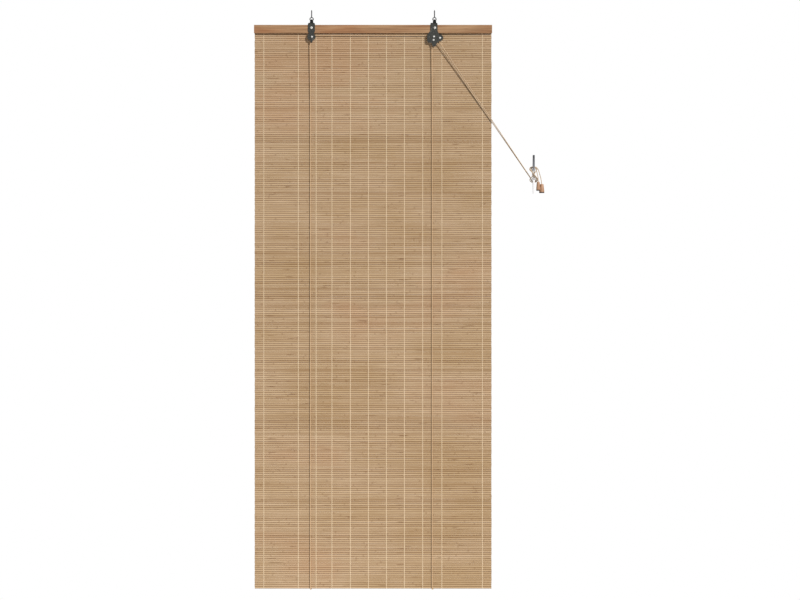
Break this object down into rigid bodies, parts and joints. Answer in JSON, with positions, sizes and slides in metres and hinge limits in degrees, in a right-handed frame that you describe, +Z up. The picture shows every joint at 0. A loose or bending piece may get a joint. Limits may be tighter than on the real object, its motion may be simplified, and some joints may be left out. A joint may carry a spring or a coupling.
{
  "type": "bamboo roll up blind",
  "caption": "Woven bamboo window blind that rolls up from the bottom on cords, with head rail, steel pulley brackets, cord lock, wooden cord ends and wall cleat.",
  "frame": {"origin": "on the ceiling plane, midway between the shanks of the two screw eyes", "axes": "+X along the blind to the side with the cord lock, +Y towards the wall, +Z up"},
  "size_m": [0.9784, 0.0606, 1.9545],
  "materials": {
    "bamboo": "split bamboo slats, dry, woven with cotton",
    "rail_wood": "bamboo veneer, satin",
    "bell_wood": "turned wood, satin lacquer",
    "cord_cotton": "braided cotton",
    "dark_steel": "gunmetal plated sheet steel",
    "bright_steel": "bright plated steel",
    "zinc_steel": "zinc plated wire",
    "pulley_plastic": "moulded nylon",
    "cleat_plastic": "moulded pale grey plastic"
  },
  "bodies": {
    "blind": {"bracket_screws": "bright_steel", "cleat_screws": "bright_steel", "cord_end_knots": "cord_cotton", "cord_staples": "zinc_steel", "head_rail": "rail_wood", "left_bracket": "dark_steel", "left_bracket_cheek": "dark_steel", "left_cord_bell": "bell_wood", "left_lift_cord": "cord_cotton", "left_pull_cord": "cord_cotton", "left_pulley_rivet": "bright_steel", "left_screw_eye": "zinc_steel", "lock_back_plate": "dark_steel", "lock_front_plate": "dark_steel", "lock_rivets": "bright_steel", "mat_staples": "zinc_steel", "mat_top": "bamboo", "right_cord_bell": "bell_wood", "right_lift_cord": "cord_cotton", "right_pull_cord": "cord_cotton", "right_screw_eye": "zinc_steel", "wall_cleat": "cleat_plastic"},
    "left_pulley": {"left_pulley": "pulley_plastic"},
    "lock_cam": {"lock_cam": "dark_steel"},
    "lower_guide_pulley": {"lower_guide_pulley": "pulley_plastic"},
    "upper_guide_pulley": {"upper_guide_pulley": "pulley_plastic"},
    "mat_band_01": {"mat_band_01": "bamboo"},
    "mat_band_02": {"mat_band_02": "bamboo"},
    "mat_band_03": {"mat_band_03": "bamboo"},
    "mat_band_04": {"mat_band_04": "bamboo"},
    "mat_band_05": {"mat_band_05": "bamboo"},
    "mat_band_06": {"mat_band_06": "bamboo"},
    "mat_band_07": {"mat_band_07": "bamboo"},
    "mat_band_08": {"mat_band_08": "bamboo"},
    "mat_band_09": {"mat_band_09": "bamboo"},
    "mat_band_10": {"mat_band_10": "bamboo"},
    "mat_band_11": {"mat_band_11": "bamboo"},
    "mat_band_12": {"mat_band_12": "bamboo"},
    "mat_band_13": {"mat_band_13": "bamboo"},
    "mat_band_14": {"mat_band_14": "bamboo"},
    "mat_band_15": {"mat_band_15": "bamboo"},
    "mat_band_16": {"mat_band_16": "bamboo"},
    "mat_band_17": {"mat_band_17": "bamboo"},
    "mat_band_18": {"mat_band_18": "bamboo"},
    "mat_band_19": {"mat_band_19": "bamboo"},
    "mat_band_20": {"mat_band_20": "bamboo"},
    "mat_band_21": {"mat_band_21": "bamboo"},
    "mat_band_22": {"mat_band_22": "bamboo"},
    "mat_band_23": {"mat_band_23": "bamboo"},
    "mat_band_24": {"mat_band_24": "bamboo"},
    "mat_band_25": {"mat_band_25": "bamboo"},
    "mat_band_26": {"mat_band_26": "bamboo"},
    "mat_band_27": {"mat_band_27": "bamboo"},
    "mat_band_28": {"mat_band_28": "bamboo"},
    "mat_band_29": {"mat_band_29": "bamboo", "bottom_batten": "rail_wood"}
  },
  "joints": [
    {"name": "left_pulley_spin", "type": "hinge", "parent": "blind", "child": "left_pulley", "pos_m": [-0.2057, -0.0013, -0.0683], "axis": [0, 1, 0], "continuous": true},
    {"name": "upper_guide_pulley_spin", "type": "hinge", "parent": "blind", "child": "upper_guide_pulley", "pos_m": [0.2053, -0.0013, -0.0673], "axis": [0, 1, 0], "continuous": true},
    {"name": "lower_guide_pulley_spin", "type": "hinge", "parent": "blind", "child": "lower_guide_pulley", "pos_m": [0.2038, -0.0013, -0.0789], "axis": [0, 1, 0], "continuous": true},
    {"name": "lock_cam_turn", "type": "hinge", "parent": "blind", "child": "lock_cam", "pos_m": [0.2256, -0.0013, -0.0718], "axis": [0, 1, 0], "range_deg": [0, 60]},
    {"name": "roll_01", "type": "hinge", "parent": "blind", "child": "mat_band_01", "pos_m": [0, 0.004, -0.3634], "axis": [-1, 0, 0], "range_deg": [0, 72], "deforming": ["left_lift_cord", "right_lift_cord"]},
    {"name": "roll_02", "type": "hinge", "parent": "mat_band_01", "child": "mat_band_02", "pos_m": [0, 0.004, -0.44672], "axis": [-1, 0, 0], "range_deg": [0, 72]},
    {"name": "roll_03", "type": "hinge", "parent": "mat_band_02", "child": "mat_band_03", "pos_m": [0, 0.004, -0.52214], "axis": [-1, 0, 0], "range_deg": [0, 72]},
    {"name": "roll_04", "type": "hinge", "parent": "mat_band_03", "child": "mat_band_04", "pos_m": [0, 0.004, -0.59596], "axis": [-1, 0, 0], "range_deg": [0, 72]},
    {"name": "roll_05", "type": "hinge", "parent": "mat_band_04", "child": "mat_band_05", "pos_m": [0, 0.004, -0.66817], "axis": [-1, 0, 0], "range_deg": [0, 72]},
    {"name": "roll_06", "type": "hinge", "parent": "mat_band_05", "child": "mat_band_06", "pos_m": [0, 0.004, -0.73879], "axis": [-1, 0, 0], "range_deg": [0, 72]},
    {"name": "roll_07", "type": "hinge", "parent": "mat_band_06", "child": "mat_band_07", "pos_m": [0, 0.004, -0.80782], "axis": [-1, 0, 0], "range_deg": [0, 72]},
    {"name": "roll_08", "type": "hinge", "parent": "mat_band_07", "child": "mat_band_08", "pos_m": [0, 0.004, -0.87524], "axis": [-1, 0, 0], "range_deg": [0, 72]},
    {"name": "roll_09", "type": "hinge", "parent": "mat_band_08", "child": "mat_band_09", "pos_m": [0, 0.004, -0.94107], "axis": [-1, 0, 0], "range_deg": [0, 72]},
    {"name": "roll_10", "type": "hinge", "parent": "mat_band_09", "child": "mat_band_10", "pos_m": [0, 0.004, -1.00529], "axis": [-1, 0, 0], "range_deg": [0, 72]},
    {"name": "roll_11", "type": "hinge", "parent": "mat_band_10", "child": "mat_band_11", "pos_m": [0, 0.004, -1.06792], "axis": [-1, 0, 0], "range_deg": [0, 72]},
    {"name": "roll_12", "type": "hinge", "parent": "mat_band_11", "child": "mat_band_12", "pos_m": [0, 0.004, -1.12895], "axis": [-1, 0, 0], "range_deg": [0, 72]},
    {"name": "roll_13", "type": "hinge", "parent": "mat_band_12", "child": "mat_band_13", "pos_m": [0, 0.004, -1.18838], "axis": [-1, 0, 0], "range_deg": [0, 72]},
    {"name": "roll_14", "type": "hinge", "parent": "mat_band_13", "child": "mat_band_14", "pos_m": [0, 0.004, -1.24621], "axis": [-1, 0, 0], "range_deg": [0, 72]},
    {"name": "roll_15", "type": "hinge", "parent": "mat_band_14", "child": "mat_band_15", "pos_m": [0, 0.004, -1.30245], "axis": [-1, 0, 0], "range_deg": [0, 72]},
    {"name": "roll_16", "type": "hinge", "parent": "mat_band_15", "child": "mat_band_16", "pos_m": [0, 0.004, -1.35708], "axis": [-1, 0, 0], "range_deg": [0, 72]},
    {"name": "roll_17", "type": "hinge", "parent": "mat_band_16", "child": "mat_band_17", "pos_m": [0, 0.004, -1.41012], "axis": [-1, 0, 0], "range_deg": [0, 72]},
    {"name": "roll_18", "type": "hinge", "parent": "mat_band_17", "child": "mat_band_18", "pos_m": [0, 0.004, -1.46156], "axis": [-1, 0, 0], "range_deg": [0, 72]},
    {"name": "roll_19", "type": "hinge", "parent": "mat_band_18", "child": "mat_band_19", "pos_m": [0, 0.004, -1.5114], "axis": [-1, 0, 0], "range_deg": [0, 72]},
    {"name": "roll_20", "type": "hinge", "parent": "mat_band_19", "child": "mat_band_20", "pos_m": [0, 0.004, -1.55964], "axis": [-1, 0, 0], "range_deg": [0, 72]},
    {"name": "roll_21", "type": "hinge", "parent": "mat_band_20", "child": "mat_band_21", "pos_m": [0, 0.004, -1.60629], "axis": [-1, 0, 0], "range_deg": [0, 72]},
    {"name": "roll_22", "type": "hinge", "parent": "mat_band_21", "child": "mat_band_22", "pos_m": [0, 0.004, -1.65133], "axis": [-1, 0, 0], "range_deg": [0, 72]},
    {"name": "roll_23", "type": "hinge", "parent": "mat_band_22", "child": "mat_band_23", "pos_m": [0, 0.004, -1.69478], "axis": [-1, 0, 0], "range_deg": [0, 72]},
    {"name": "roll_24", "type": "hinge", "parent": "mat_band_23", "child": "mat_band_24", "pos_m": [0, 0.004, -1.73663], "axis": [-1, 0, 0], "range_deg": [0, 72]},
    {"name": "roll_25", "type": "hinge", "parent": "mat_band_24", "child": "mat_band_25", "pos_m": [0, 0.004, -1.77688], "axis": [-1, 0, 0], "range_deg": [0, 72]},
    {"name": "roll_26", "type": "hinge", "parent": "mat_band_25", "child": "mat_band_26", "pos_m": [0, 0.004, -1.8108], "axis": [-1, 0, 0], "range_deg": [0, 72]},
    {"name": "roll_27", "type": "hinge", "parent": "mat_band_26", "child": "mat_band_27", "pos_m": [0, 0.004, -1.84605], "axis": [-1, 0, 0], "range_deg": [0, 72]},
    {"name": "roll_28", "type": "hinge", "parent": "mat_band_27", "child": "mat_band_28", "pos_m": [0, 0.004, -1.87496], "axis": [-1, 0, 0], "range_deg": [0, 72]},
    {"name": "roll_29", "type": "hinge", "parent": "mat_band_28", "child": "mat_band_29", "pos_m": [0, 0.004, -1.90228], "axis": [-1, 0, 0], "range_deg": [0, 72]}
  ],
  "couplings": [
    {"joint": "upper_guide_pulley_spin", "follows": "left_pulley_spin", "ratio": 1.198}
  ]
}
